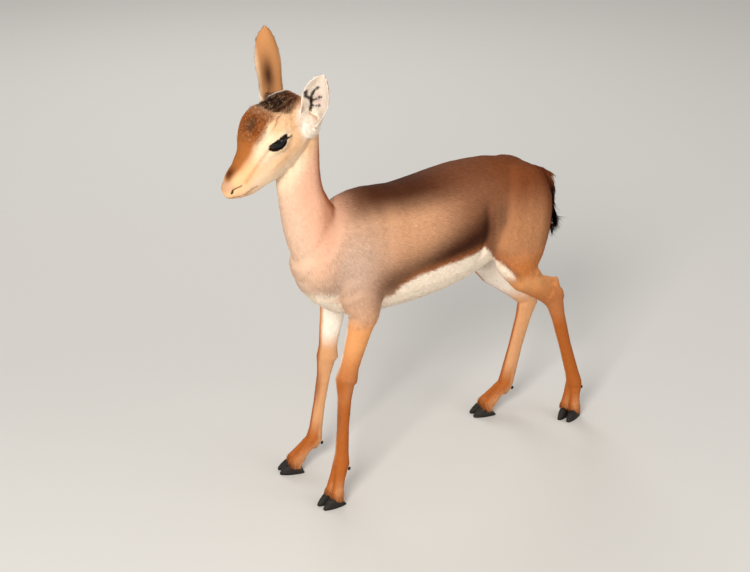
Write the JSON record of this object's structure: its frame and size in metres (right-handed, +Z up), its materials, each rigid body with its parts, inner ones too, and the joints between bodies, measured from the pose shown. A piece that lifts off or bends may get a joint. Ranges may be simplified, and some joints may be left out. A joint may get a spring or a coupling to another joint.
{
  "type": "gazelle fawn",
  "caption": "Still, life-size model of a young gazelle standing on the ground, head raised and a little turned, ears up and legs set apart.",
  "frame": {"origin": "on the ground, under the middle of the model's box", "axes": "+Z up; the animal faces -X, and its left side is towards -Y"},
  "size_m": [0.6048, 0.1542, 0.6745],
  "materials": {
    "coat": "short dense fur",
    "leg_coat": "short flat fur",
    "tail_hair": "longer dark hair",
    "horn": "dull horn",
    "eye": "wet gloss"
  },
  "bodies": {
    "root": {"head": "coat", "neck": "coat", "torso": "coat", "ear_left": "coat", "ear_right": "coat", "tail": "tail_hair", "eye_left": "eye", "eye_right": "eye", "fore_left_upper": "coat", "fore_left_cannon": "leg_coat", "fore_left_foot": "leg_coat", "fore_left_hoof_outer": "horn", "fore_left_dewclaw_outer": "horn", "fore_left_hoof_inner": "horn", "fore_left_dewclaw_inner": "horn", "fore_right_upper": "coat", "fore_right_cannon": "leg_coat", "fore_right_foot": "leg_coat", "fore_right_hoof_outer": "horn", "fore_right_dewclaw_outer": "horn", "fore_right_hoof_inner": "horn", "fore_right_dewclaw_inner": "horn", "hind_left_upper": "coat", "hind_left_cannon": "leg_coat", "hind_left_foot": "leg_coat", "hind_left_hoof_outer": "horn", "hind_left_dewclaw_outer": "horn", "hind_left_hoof_inner": "horn", "hind_left_dewclaw_inner": "horn", "hind_right_upper": "coat", "hind_right_cannon": "leg_coat", "hind_right_foot": "leg_coat", "hind_right_hoof_outer": "horn", "hind_right_dewclaw_outer": "horn", "hind_right_hoof_inner": "horn", "hind_right_dewclaw_inner": "horn"}
  },
  "joints": []
}
